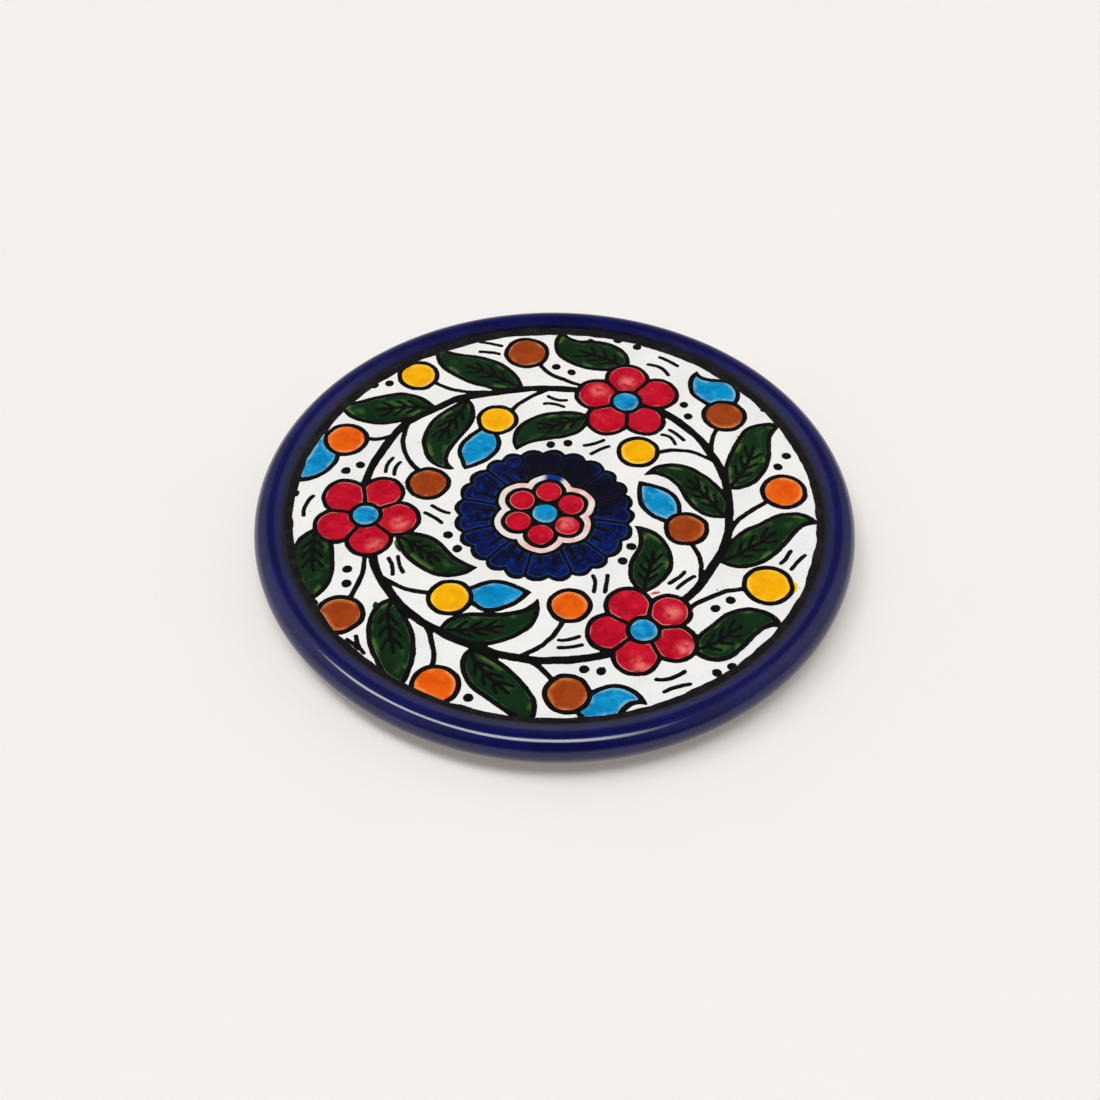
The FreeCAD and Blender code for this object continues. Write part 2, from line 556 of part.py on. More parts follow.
dash_faces = [brush_stroke([at(point) for point in dash], dash_width) for dash in dashes]
dot_faces = [round_face(at(dot), dot_radius * layout_scale) for dot in dots]
painted = fills + [line_region, scallops(outline_width)]
for name, marks in (("filler_dashes", dash_faces), ("filler_dots", dot_faces)):
    loose = Part.Compound(marks).common(field).cut(painted)
    parts[name] = layer(loose, face_height, line_thickness)

os.makedirs("parts", exist_ok=True)
for name, shape in parts.items():
    shape.exportStep("parts/" + name + ".step")
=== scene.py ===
"""A hand painted ceramic plate, finished round its CAD model. The frame is in metres, +Z up, and
every length below is in millimetres until it goes into a mesh."""

import math

import bpy
import numpy as np
from mathutils import Matrix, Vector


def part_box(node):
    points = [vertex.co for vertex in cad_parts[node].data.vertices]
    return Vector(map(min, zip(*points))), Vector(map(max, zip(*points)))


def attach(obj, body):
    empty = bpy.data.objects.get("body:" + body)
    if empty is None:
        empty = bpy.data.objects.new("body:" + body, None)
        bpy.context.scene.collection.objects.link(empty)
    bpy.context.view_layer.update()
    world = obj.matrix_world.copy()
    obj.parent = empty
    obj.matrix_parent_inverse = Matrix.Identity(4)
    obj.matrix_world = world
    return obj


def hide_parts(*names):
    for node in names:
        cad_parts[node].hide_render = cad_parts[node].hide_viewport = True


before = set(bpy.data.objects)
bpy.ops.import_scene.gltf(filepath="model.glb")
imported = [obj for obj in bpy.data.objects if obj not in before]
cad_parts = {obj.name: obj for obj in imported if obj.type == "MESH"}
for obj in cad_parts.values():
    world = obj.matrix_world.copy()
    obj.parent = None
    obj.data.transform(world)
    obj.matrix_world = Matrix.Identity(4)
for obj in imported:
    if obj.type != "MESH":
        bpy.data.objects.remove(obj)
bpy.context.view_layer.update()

MM = 0.001

# ---------------------------------------------------------------- sizes of the finish, millimetres
cell = 0.3              # grid of a painted pool or stroke
piece_share = 0.8       # an outline is cut into pieces no longer than this share of the grid
line_edge = 0.36        # width of the rounded edge of a black line
pool_edge = 0.6         # width of the rounded edge of a pool of colour
leaf_edge = 0.5         # the same for the leaves and for the rosette's ring and band
line_spread = 0.09      # how much a black line has spread in firing, each side
pool_spread = 0.12      # how far a pool runs in under its black line
edge_step = 0.3         # share of a layer's height at its very edge
relief = 0.4            # how much of each layer of paint still stands up after firing
slip_height = 0.05      # thickness of a drop where the brush slipped
slip_edge = 4.0         # width of such a drop's rounded edge, as a multiple of its thickness
underlap = 0.06         # how far paint goes down into the glaze
hand_reach = 0.09       # how far the painter's hand strays from the drawn line
hand_longest = 15.0     # wave length of the hand's slowest stray
hand_shortest = 2.6     # and of its quickest
calm_gap = 0.4          # the hand is quite still from here to where the rim starts
calm_width = 2.0        # and finds its full stray this much further in
bold_share = 1.5        # spread of the loose dashes, dots and veins against that of the outlines
border_stray = 1.5      # stray of the black border against that of the outlines
border_lap = 0.45       # how far the border's outer edge runs in under the cobalt
border_reach = 0.3      # an outline this near the rim is the border's outer edge
face_wave = 0.0175      # height of the slow waves of the white face
face_wave_radius = 5.2  # radius over which such a wave turns by one radian
face_calm = 6.0         # the waves die away over this width at the border
face_drop = 0.004       # the face lies this far below its CAD level, clear of the paint
face_gap = 0.02         # gap between the white face and where the rim starts
face_depth = 0.9        # share of the glaze's depth that the white face has
cobalt_depth = 0.8      # share of the glaze's depth that the cobalt skin has
throwing_wave = 0.05    # unevenness of the rim's radius round the plate
throwing_rise = 0.8     # unevenness of its height, as a share of that
border_creep = 0.85     # how far the black border runs up the slope inside the rim
widest_tone = 1.1       # width of the band inside an outline over which its distance is measured
sharp_angle = 38.0      # an edge sharper than this isn't smoothed over, degrees
slope_turn = 113.0      # the rim's inner slope, where pooled glaze fills the cove: the way it faces

face_rings, face_around = 90, 360           # how finely the white face is drawn
face_crowding = 0.8                         # its rings lie at share ** face_crowding of the radius
cove_steps, slope_steps, roll_steps, lap_steps, rim_around = 8, 14, 62, 8, 512    # and the rim

# ---------------------------------------------------------------- places taken from the frame


def node_points(name):
    """A CAD node's corners, merged where they are the same to a tenth of a micron, and its triangles."""
    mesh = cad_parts[name].data
    corners = np.empty(len(mesh.vertices) * 3)
    mesh.vertices.foreach_get("co", corners)
    mesh.calc_loop_triangles()
    triangles = np.empty(len(mesh.loop_triangles) * 3, np.int64)
    mesh.loop_triangles.foreach_get("vertices", triangles)
    keys = np.round(corners.reshape(-1, 3) / MM * 1e4).astype(np.int64)
    places, same = np.unique(keys, axis=0, return_inverse=True)
    return places / 1e4, same.ravel()[triangles].reshape(-1, 3)


def box(name):
    """A CAD node's lowest and highest corner, in millimetres."""
    low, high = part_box(name)
    return np.array(low) / MM, np.array(high) / MM


def near(name, across=0.0, away=0.0):
    """A place in plan, counted from the middle of a CAD node's box."""
    low, high = box(name)
    return ((low[0] + high[0]) / 2 + across, (low[1] + high[1]) / 2 + away)


def one_way(edges, count):
    """The directed edges that have no partner the other way round."""
    there = edges[:, 0] * count + edges[:, 1]
    back = edges[:, 1] * count + edges[:, 0]
    return edges[~np.isin(there, back)]


def outline(name):
    """The directed outline of a node's flat top, as (edge, end, xy)."""
    places, triangles = node_points(name)
    top = places[:, 2].max()
    flat = triangles[(places[triangles, 2] > top - 0.005).all(1)]
    edges = flat[:, [0, 1, 1, 2, 2, 0]].reshape(-1, 2)
    return places[one_way(edges, len(places)), :2]


face = box("ground_glaze")[1][2]
glaze_depth = face - box("ground_glaze")[0][2]
rim_points = node_points("rim_glaze")[0]
rim_radii = np.hypot(rim_points[:, 0], rim_points[:, 1])


def roll_circle():
    """The roll's centre and radius: the circle through the rim's outermost skin, by least squares on
    r^2 + z^2 = 2 r a + 2 z b + c."""
    outer = rim_radii.argmax()
    guess = rim_points[:, 2].max() - rim_points[outer, 2]
    away = np.hypot(rim_radii - rim_radii[outer] + guess, rim_points[:, 2] - rim_points[outer, 2])
    skin = (away > guess - glaze_depth / 2) & (rim_radii > rim_radii[outer] - guess)
    r, z = rim_radii[skin], rim_points[skin, 2]
    a, b, c = np.linalg.lstsq(np.c_[2 * r, 2 * z, np.ones_like(r)], r * r + z * z, rcond=None)[0]
    return a, b, math.sqrt(c + a * a + b * b)


roll_r, roll_z, roll = roll_circle()
cove_start = rim_radii.min()
cove_rise = face - roll_z
cove_run = roll_r - cove_start
cove = (cove_run ** 2 + cove_rise ** 2 - roll ** 2) / (2 * (roll - cove_rise))

# ---------------------------------------------------------------- the hand

rng = np.random.default_rng(11)
wave_count = 34
wave_length = np.geomspace(hand_longest, hand_shortest, wave_count)
wave_way = rng.uniform(0, 2 * math.pi, (2, wave_count))
wave_start = rng.uniform(0, 2 * math.pi, (2, wave_count))
wave_size = (wave_length / hand_longest) ** 0.75
wave_size *= hand_reach / math.sqrt((wave_size ** 2).sum() / 2)


def strayed(points, share):
    """Points of the drawing moved by a share of the hand's stray: along x and along y, a sum of sine
    waves in scattered directions, dying away where the border meets the rim."""
    moved = points.copy()
    away = np.hypot(points[:, 0], points[:, 1])
    calm = np.clip((cove_start - calm_gap - away) / calm_width, 0, 1)
    for axis in (0, 1):
        turn = wave_way[axis]
        phase = (points[:, :1] * np.cos(turn) + points[:, 1:] * np.sin(turn)) * 2 * math.pi / wave_length
        moved[:, axis] += share * calm * (np.sin(phase + wave_start[axis]) * wave_size).sum(1)
    return np.round(moved, 7)


# ---------------------------------------------------------------- meshes


def new_piece(name, points, faces, nodes, slot, material, **shares):
    """An object from points in millimetres and faces, with shares as its named point attributes."""
    mesh = bpy.data.meshes.new(name)
    mesh.from_pydata(points * MM, [], faces)
    mesh.shade_smooth()
    mesh.set_sharp_from_angle(angle=math.radians(sharp_angle))
    for share, values in shares.items():
        mesh.attributes.new(share, "FLOAT", "POINT").data.foreach_set("value", values.astype(np.float32))
    piece = bpy.data.objects.new(name, mesh)
    bpy.context.scene.collection.objects.link(piece)
    mesh.materials.append(material)
    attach(piece, "root")
    if nodes:
        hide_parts(*nodes)
    return piece


def grid_inside(start, end, origin, shape):
    """Which grid points lie inside an outline: each edge is counted where it crosses a row, and a point
    is inside where the count on its left is odd."""
    low = np.where((start[:, 1] < end[:, 1])[:, None], start, end)
    high = np.where((start[:, 1] < end[:, 1])[:, None], end, start)
    first = np.ceil((low[:, 1] - origin[1]) / cell).astype(int)
    rows = np.ceil((high[:, 1] - origin[1]) / cell).astype(int) - first
    edge = np.repeat(np.arange(len(low)), rows)
    row = first[edge] + np.arange(len(edge)) - np.repeat(np.cumsum(rows) - rows, rows)
    share = (origin[1] + row * cell - low[edge, 1]) / (high[edge, 1] - low[edge, 1])
    x = low[edge, 0] + share * (high[edge, 0] - low[edge, 0])
    crossed = np.zeros(shape, int)
    np.add.at(crossed, (np.ceil((x - origin[0]) / cell).astype(int), row), 1)
    return crossed.cumsum(0) % 2 == 1


def grid_distance(start, end, origin, shape, reach):
    """Each grid point's distance to an outline, no more than reach, and the outline's nearest place."""
    span = int(math.ceil(reach / cell)) + 1
    step = np.stack(np.meshgrid(*[np.arange(-span, span + 1)] * 2, indexing="ij"), -1).reshape(-1, 2)
    middle = np.round(((start + end) / 2 - origin) / cell).astype(int)
    node = np.clip(middle[:, None] + step, 0, np.array(shape) - 1)
    place = origin + node * cell
    way = (end - start)[:, None]
    share = ((place - start[:, None]) * way).sum(2) / np.maximum((way ** 2).sum(2), 1e-12)
    foot = start[:, None] + np.clip(share, 0, 1)[..., None] * way
    apart = ((place - foot) ** 2).sum(2).ravel()
    index = (node[..., 0] * shape[1] + node[..., 1]).ravel()
    best = np.full(shape[0] * shape[1], reach ** 2)
    np.minimum.at(best, index, apart)
    hit = apart <= best[index]
    nearest = np.zeros((shape[0] * shape[1], 2))
    nearest[index[hit]] = foot.reshape(-1, 2)[hit]
    return np.sqrt(best), nearest


def painted(name, edges, low, lift, edge_width, spread, nodes, slot, material, stray=1.0):
    """Paint laid inside an outline: a height over a square grid in plan. The height is low, plus lift
    times s + (1 - s) (3 t^2 - 2 t^3), where s is edge_step and t is the distance to the outline over
    edge_width, at most 1. Grid points next to the outline are drawn onto it. Walls and a flat underside
    close it."""
    length = np.linalg.norm(edges[:, 1] - edges[:, 0], axis=1)
    pieces = np.maximum(np.ceil(length / (piece_share * cell)), 1).astype(int)
    edge = np.repeat(np.arange(len(edges)), pieces)
    step = np.arange(len(edge)) - np.repeat(np.cumsum(pieces) - pieces, pieces)
    along = (edges[:, 1] - edges[:, 0])[edge] / pieces[edge][:, None]
    start = strayed(edges[edge, 0] + along * step[:, None], stray)
    end = strayed(edges[edge, 0] + along * (step + 1)[:, None], stray)

    reach = max(edge_width + spread, widest_tone) + 2 * cell
    origin = np.minimum(start, end).min(0) - reach
    shape = tuple(np.ceil((np.maximum(start, end).max(0) + reach - origin) / cell).astype(int) + 1)
    inside = grid_inside(start, end, origin, shape).ravel()
    apart, nearest = grid_distance(start, end, origin, shape, reach)
    place = origin + np.stack(np.indices(shape), -1).reshape(-1, 2) * cell
    signed = np.where(inside, apart, -apart)
    uphill = (place - nearest) / np.where(np.abs(signed) < 1e-6, 1e-6, signed)[:, None]
    depth = signed + spread

    index = np.arange(len(depth)).reshape(shape)
    corner = [index[:-1, :-1], index[1:, :-1], index[1:, 1:], index[:-1, 1:]]
    pairs = [(index[:-1], index[1:]), (index[:, :-1], index[:, 1:]), (corner[0], corner[2])]
    drawn = np.zeros(len(depth), bool)
    for one, two in pairs:
        one, two = one.ravel(), two.ravel()
        cut = (depth[one] > 0) != (depth[two] > 0)
        one, two = one[cut], two[cut]
        drawn[np.where(np.abs(depth[one]) <= np.abs(depth[two]), one, two)] = True
    halves = [np.stack([corner[i].ravel() for i in three], 1) for three in ((0, 1, 2), (0, 2, 3))]
    triangles = np.concatenate(halves)
    state = np.where(drawn, 0, np.where(depth > 0, 1, -1))
    triangles = triangles[(state[triangles].min(1) >= 0) & (depth[triangles].mean(1) > 0)]
    place = np.where(drawn[:, None], place - uphill * depth[:, None], place)
    depth = np.where(drawn, 0, depth)

    used, triangles = np.unique(triangles, return_inverse=True)
    triangles = triangles.reshape(-1, 3)
    place, depth, count = place[used], depth[used], len(used)
    share = np.clip(depth / edge_width, 0, 1)
    height = low + lift * (edge_step + (1 - edge_step) * share ** 2 * (3 - 2 * share))
    points = np.concatenate([np.c_[place, height], np.c_[place, np.full(count, low - underlap)]])
    loose = one_way(triangles[:, [0, 1, 1, 2, 2, 0]].reshape(-1, 2), count)
    walls = np.c_[loose[:, 0], loose[:, 0] + count, loose[:, 1] + count, loose[:, 1]]
    faces = triangles.tolist() + (triangles[:, ::-1] + count).tolist() + walls.tolist()
    return new_piece(name, points, faces, nodes, slot, material, edge=np.tile(depth, 2))


def blob_outline(middle, length, width, turn=0.0, wobble=0.12, seed=1):
    """The outline of a small drop or smear: an ellipse whose radius wavers by two slow sine waves."""
    draw = np.random.default_rng(seed)
    angle = np.linspace(0, 2 * math.pi, 61)[:-1]
    waver = 1 + sum(wobble / k * np.sin(k * angle + draw.uniform(0, 6.3)) for k in (2, 3, 5))
    x, y = length / 2 * np.cos(angle) * waver, width / 2 * np.sin(angle) * waver
    c, s = math.cos(math.radians(turn)), math.sin(math.radians(turn))
    ring = np.c_[middle[0] + x * c - y * s, middle[1] + x * s + y * c]
    return np.stack([ring, np.roll(ring, -1, 0)], 1)


def carried_round(name, section, around, poles, nodes, slot, material, waves=(0, 0), **shares):
    """A (radius, height) section carried round Z: x = r cos a, y = r sin a. With poles the section
    starts and ends on the axis; without, it is a ring that closes on itself. Radius and height waver
    round the plate by a few whole waves, of the two sizes in waves."""
    angle = np.linspace(0, 2 * math.pi, around + 1)[:-1]
    draw = np.random.default_rng(5)
    waver = [size * sum(np.sin(k * angle + draw.uniform(0, 6.3)) / k for k in (2, 3, 5, 7))
             for size in waves]
    rows = section[1:-1] if poles else section
    r = rows[:, None, 0] + waver[0]
    z = rows[:, None, 1] + waver[1]
    points = np.stack([r * np.cos(angle), r * np.sin(angle), z], -1).reshape(-1, 3)
    index = np.arange(len(points)).reshape(len(rows), around)
    ahead = np.roll(index, -1, 1)
    if poles:
        one, two = index[:-1], index[1:]
        one_ahead, two_ahead = ahead[:-1], ahead[1:]
    else:
        one, two = index, np.roll(index, -1, 0)
        one_ahead, two_ahead = ahead, np.roll(ahead, -1, 0)
    faces = np.stack([one, two, two_ahead, one_ahead], -1).reshape(-1, 4).tolist()
    spread = {share: np.repeat(values[1:-1] if poles else values, around)
              for share, values in shares.items()}
    if poles:
        count = len(points)
        points = np.concatenate([points, np.c_[[0, 0], [0, 0], section[[0, -1], 1]]])
        faces += np.stack([np.full(around, count), index[0], ahead[0]], 1).tolist()
        faces += np.stack([np.full(around, count + 1), ahead[-1], index[-1]], 1).tolist()
        spread = {share: np.append(values, [values[0], values[-1]]) for share, values in spread.items()}
    return new_piece(name, points, faces, nodes, slot, material, **spread)


# ---------------------------------------------------------------- glazes


paint_lift = 1.03       # how much paler a paint is than the shade it shows


def paint(red, green, blue):
    """A paint's colour, from the shade it shows under the studio light."""
    shown = np.array([red, green, blue]) / 255
    linear = np.where(shown < 0.04045, shown / 12.92, ((shown + 0.055) / 1.055) ** 2.4)
    return (*(linear * paint_lift), 1.0)


class Glaze:
    """A fired glaze being put together. It starts as a bare shader; tone() lays colour over colour."""

    def __init__(self, name, colour, gloss=1.42):
        self.material = bpy.data.materials.new(name)
        self.material.use_nodes = True
        self.tree = self.material.node_tree
        self.shader = self.tree.nodes["Principled BSDF"]
        self.shader.inputs["IOR"].default_value = gloss
        self.place = self.add("ShaderNodeTexCoord").outputs["Object"]
        self.colour = colour

    def add(self, kind, **settings):
        made = self.tree.nodes.new(kind)
        for setting, value in settings.items():
            setattr(made, setting, value)
        return made

    def put(self, socket, value):
        """A value, a colour or another node's output goes into a socket."""
        if isinstance(value, bpy.types.NodeSocket):
            self.tree.links.new(value, socket)
        else:
            socket.default_value = value

    def span(self, value, low, high, out_low=0.0, out_high=1.0):
        """A value brought from low..high onto out_low..out_high, with soft ends."""
        made = self.add("ShaderNodeMapRange", interpolation_type="SMOOTHSTEP")
        for socket, item in zip(made.inputs, (value, low, high, out_low, out_high)):
            self.put(socket, item)
        return made.outputs["Result"]

    def both(self, operation, one, two):
        """Two values put together by a Math operation."""
        made = self.add("ShaderNodeMath", operation=operation)
        self.put(made.inputs[0], one)
        self.put(made.inputs[1], two)
        return made.outputs[0]

    def mottle(self, size, low=0.4, high=0.6, detail=3.0, shift=0.0, stretch=(1, 1, 1), turn=0.0):
        """Patches about size millimetres across, 0 below low and 1 above high."""
        moved = self.add("ShaderNodeMapping")
        self.put(moved.inputs["Vector"], self.place)
        moved.inputs["Location"].default_value = (shift, shift * 0.7, 0)
        moved.inputs["Rotation"].default_value = (0, 0, math.radians(turn))
        moved.inputs["Scale"].default_value = stretch
        made = self.add("ShaderNodeTexNoise")
        self.put(made.inputs["Vector"], moved.outputs[0])
        made.inputs["Scale"].default_value = 1 / (size * MM)
        made.inputs["Detail"].default_value = detail
        return self.span(made.outputs["Fac"], low, high)

    def share(self, name, low, high):
        """1 where the piece's own attribute is below low, 0 above high."""
        made = self.add("ShaderNodeAttribute", attribute_name=name)
        return self.span(made.outputs["Fac"], low, high, 1.0, 0.0)

    def apart(self, middle):
        """The distance in plan from a place, in millimetres."""
        made = self.add("ShaderNodeVectorMath", operation="MULTIPLY_ADD")
        self.put(made.inputs[0], self.place)
        made.inputs[1].default_value = (1 / MM, 1 / MM, 0)
        made.inputs[2].default_value = (-middle[0], -middle[1], 0)
        length = self.add("ShaderNodeVectorMath", operation="LENGTH")
        self.put(length.inputs[0], made.outputs[0])
        return length.outputs["Value"]

    def spots(self, middles, core, fade):
        """1 within core millimetres of any of the places, 0 beyond fade."""
        found = None
        for middle in middles:
            one = self.span(self.apart(middle), core, fade, 1.0, 0.0)
            found = one if found is None else self.both("MAXIMUM", found, one)
        return found

    def tone(self, factor, colour, strength=1.0):
        """Lays a colour over what is there, by a factor."""
        made = self.add("ShaderNodeMix", data_type="RGBA")
        if strength != 1.0:
            factor = self.both("MULTIPLY", factor, strength)
        self.put(made.inputs["Factor"], factor)
        self.put(made.inputs[6], self.colour)
        self.put(made.inputs[7], colour)
        self.colour = made.outputs[2]

    def rim_light(self, low, high, colour, strength):
        """A pale edge to a pool, in broken stretches."""
        broken = self.mottle(4.6, 0.46, 0.6, shift=9.0, detail=1.0)
        self.tone(self.both("MULTIPLY", self.share("edge", low, high), broken), colour, strength)

    def done(self, rough=(0.05, 0.14), peel=0.012, peel_size=2.4, rough_size=6.0, grain=0.0):
        """Colour, wandering roughness and a soft orange-peel bump go to the shader."""
        self.put(self.shader.inputs["Base Color"], self.colour)
        wander = self.mottle(rough_size, 0.3, 0.7, shift=3.1)
        self.put(self.shader.inputs["Roughness"], self.span(wander, 0, 1, *rough))
        high = self.mottle(peel_size, 0.0, 1.0, detail=1.5, shift=1.7)
        if grain:
            fine = self.mottle(0.35, 0.2, 0.8, detail=2.0, shift=0.4)
            high = self.both("ADD", high, self.both("MULTIPLY", fine, grain))
        bump = self.add("ShaderNodeBump")
        bump.inputs["Distance"].default_value = peel * MM
        self.put(bump.inputs["Height"], high)
        self.put(self.shader.inputs["Normal"], bump.outputs["Normal"])
        return self.material


north, west, south = "flower_north_petals", "flower_west_petals", "flower_south_petals"


def black_glaze():
    """Dense black brush work, browner and thinner in places."""
    glaze = Glaze("black_brush_line", paint(7, 6, 6))
    glaze.tone(glaze.mottle(2.6, 0.5, 0.75), paint(22, 20, 18), 0.7)
    glaze.tone(glaze.share("edge", 0.0, 0.1), paint(30, 27, 27), 0.3)
    return glaze.done(rough=(0.1, 0.22))


def border_glaze():
    """The black band against the blue rim: greyer, with a breath of blue towards the rim."""
    glaze = Glaze("border_black", paint(19, 17, 17))
    glaze.tone(glaze.mottle(3.5, 0.45, 0.7), paint(36, 34, 35), 0.8)
    far = glaze.span(glaze.apart((0, 0)), cove_start - 1.2, cove_start + 0.6)
    glaze.tone(far, paint(26, 25, 48), 0.8)
    return glaze.done(rough=(0.1, 0.22))


def red_glaze():
    """Red enamel: deep in the middle of a pool, with pale pink patches that are partly glaze lying thin
    over the white and partly a painted highlight, the lamp's glare on the domed petals.
    """
    glaze = Glaze("red_enamel", paint(190, 12, 40))
    glaze.tone(glaze.mottle(5.0, 0.42, 0.62, shift=0.6), paint(171, 3, 32))
    glaze.tone(glaze.mottle(2.4, 0.5, 0.8, shift=2.2), paint(208, 40, 58), 0.8)
    # Painted highlight: these pale pink patches at listed places on the petals stand for the lamp's glare
    # on the domed enamel as well as for thin glaze.
    thin = glaze.spots([near(north, 0.3, 6.6), near(north, -7.5, 3.2), near(west, 8.4, -2.6),
                        near(west, 2.6, -10.0), near(south, 7.8, 5.6), near(south, 10.2, -5.4),
                        near(south, -0.6, -10.4), near("rosette_petals", 5.2, -3.5)], 0.2, 3.4)
    thin = glaze.both("MULTIPLY", thin, glaze.mottle(1.9, 0.3, 0.62, shift=4.0))
    glaze.tone(thin, paint(236, 118, 116), 0.85)
    glaze.rim_light(0.12, 0.42, paint(240, 176, 164), 0.5)
    return glaze.done(rough=(0.04, 0.1), peel=0.02)


def blue_glaze():
    """Turquoise blue: streaked with a paler blue towards the edge of a pool."""
    glaze = Glaze("turquoise_enamel", paint(1, 138, 195))
    glaze.tone(glaze.mottle(4.0, 0.42, 0.65, stretch=(1, 2.2, 1), turn=35), paint(0, 120, 176))
    glaze.tone(glaze.mottle(2.8, 0.5, 0.72, shift=1.3), paint(34, 156, 208))
    outer = glaze.both("MULTIPLY", glaze.share("edge", 0.3, 1.3), glaze.mottle(3.2, 0.4, 0.6, shift=5.0))
    glaze.tone(outer, paint(112, 180, 214), 0.8)
    cores = [near(f"flower_{side}_core", 1.5, -1.3) for side in ("north", "west", "south")]
    glaze.tone(glaze.spots(cores + [near("rosette_core", 1.2, -1.2)], 0.2, 1.7), paint(30, 60, 86), 0.45)
    glaze.rim_light(0.12, 0.36, paint(176, 208, 222), 0.55)
    return glaze.done(rough=(0.04, 0.1), peel=0.02)


def green_glaze():
    """Dark green: nearly black where it pools, a clear leaf green where the brush left it thin."""
    glaze = Glaze("leaf_green", paint(11, 45, 17))
    glaze.tone(glaze.mottle(9.0, 0.4, 0.62), paint(8, 38, 14))
    inner = glaze.both("SUBTRACT", 1.0, glaze.share("edge", 0.8, 2.4))
    thin = glaze.both("MULTIPLY", inner, glaze.mottle(8.0, 0.49, 0.64, shift=2.0, detail=2.0))
    glaze.tone(thin, paint(50, 90, 38), 0.9)
    outer = glaze.both("MULTIPLY", glaze.share("edge", 0.4, 1.5),
                       glaze.mottle(6.0, 0.54, 0.66, shift=6.0, detail=1.0))
    glaze.tone(outer, paint(78, 112, 52), 0.7)
    glaze.rim_light(0.12, 0.38, paint(104, 134, 88), 0.36)
    return glaze.done(rough=(0.05, 0.12), peel=0.02)


def berry_glaze(name, middle, deep, pale):
    """A round pool of one colour: deeper in soft patches, pale and tan where it lies thin at its edge."""
    glaze = Glaze(name, paint(*middle))
    glaze.tone(glaze.mottle(3.6, 0.42, 0.66, shift=0.9), paint(*deep))
    outer = glaze.both("MULTIPLY", glaze.share("edge", 0.3, 1.4), glaze.mottle(4.0, 0.42, 0.6, shift=3.0))
    glaze.tone(outer, paint(*pale), 0.8)
    glaze.tone(glaze.mottle(0.8, 0.72, 0.78, shift=7.0), paint(*[shade * 0.5 for shade in deep]), 0.6)
    glaze.rim_light(0.1, 0.34, paint(*[(shade + 240) / 2 for shade in pale]), 0.5)
    return glaze.done(rough=(0.04, 0.1), peel=0.02)


def ring_glaze():
    """The rosette's ultramarine: streaked out from its centre, nearly black on one side, light edged."""
    glaze = Glaze("rosette_ultramarine", paint(4, 20, 78))
    glaze.tone(glaze.mottle(3.4, 0.42, 0.6, shift=2.0), paint(4, 9, 48))
    glaze.tone(glaze.mottle(1.5, 0.52, 0.72, shift=1.0, detail=4.0), paint(10, 50, 128), 0.6)
    glaze.tone(glaze.share("edge", 0.2, 0.6), paint(24, 72, 150), 0.45)
    dark = glaze.spots([near("rosette_ring", 15.0, 7.0), near("rosette_ring", 7.5, 14.5),
                        near("rosette_ring", -0.5, 16.5)], 4.5, 8.0)
    glaze.tone(dark, paint(5, 6, 22), 0.94)
    return glaze.done(rough=(0.05, 0.12), peel=0.02)


def band_glaze():
    """The rosette's pale band: white, flushed pink beside the red petals."""
    glaze = Glaze("rosette_band_white", paint(226, 220, 216))
    pink = glaze.spots([near("rosette_band", -7.2, 8.4), near("rosette_band", 9.8, 7.6),
                        near("rosette_band", 11.8, -2.5), near("rosette_band", 6.5, -11.5),
                        near("rosette_band", -3.0, -13.0)], 1.5, 6.5)
    glaze.tone(glaze.both("MULTIPLY", pink, glaze.mottle(2.5, 0.3, 0.6)), paint(232, 172, 164), 0.9)
    glaze.tone(glaze.spots([near("rosette_band", 2.4, 12.6)], 1.6, 3.4), paint(14, 48, 130))
    return glaze.done(rough=(0.05, 0.12))


def white_glaze():
    """The white face: a soft off-white with the blue of the rim drawn into it near the border, faint
    grey clouds and a scatter of tiny dark pinholes."""
    glaze = Glaze("white_face", paint(237, 237, 234), gloss=1.5)
    glaze.tone(glaze.mottle(14.0, 0.42, 0.68), paint(230, 231, 229))
    glaze.tone(glaze.mottle(2.0, 0.56, 0.8, shift=3.0), paint(224, 223, 218), 0.6)
    rimward = glaze.span(glaze.apart((-3.0, 4.0)), cove_start - 9.0, cove_start - 1.0)
    glaze.tone(glaze.both("MULTIPLY", rimward, glaze.mottle(5.0, 0.4, 0.62)), paint(212, 220, 230), 0.25)
    holes = glaze.add("ShaderNodeTexVoronoi")
    glaze.put(holes.inputs["Vector"], glaze.place)
    holes.inputs["Scale"].default_value = 1 / (3.4 * MM)
    pin = glaze.span(holes.outputs["Distance"], 0.035, 0.06, 1.0, 0.0)
    rare = glaze.mottle(7.0, 0.5, 0.56, shift=8.0)
    glaze.tone(glaze.both("MULTIPLY", pin, rare), paint(90, 82, 78), 0.9)
    return glaze.done(rough=(0.06, 0.14), peel=0.03, peel_size=4.0)


def cobalt_glaze():
    """The rim's cobalt: mottled, black at the foot of the inner slope, where the painted border runs up
    it, and breaking to a thin pale edge where it stops under the rim."""
    glaze = Glaze("cobalt_rim", paint(8, 12, 68), gloss=1.52)
    glaze.tone(glaze.mottle(9.0, 0.4, 0.64), paint(12, 16, 80))
    glaze.tone(glaze.mottle(1.4, 0.5, 0.76, shift=2.0, detail=4.0), paint(4, 6, 52), 0.7)
    turn = glaze.add("ShaderNodeAttribute", attribute_name="turn").outputs["Fac"]
    run = glaze.add("ShaderNodeAttribute", attribute_name="run").outputs["Fac"]
    ragged = glaze.both("ADD", run, glaze.span(glaze.mottle(3.0, 0.2, 0.8, shift=5.0), 0, 1, -0.25, 0.25))
    glaze.tone(glaze.span(ragged, border_creep, border_creep + 0.8, 1.0, 0.0), paint(4, 4, 8), 0.95)
    glaze.tone(glaze.span(turn, -84.0, -76.0, 1.0, 0.0), paint(150, 142, 150), 0.6)
    return glaze.done(rough=(0.05, 0.09), peel=0.02, peel_size=6.0)


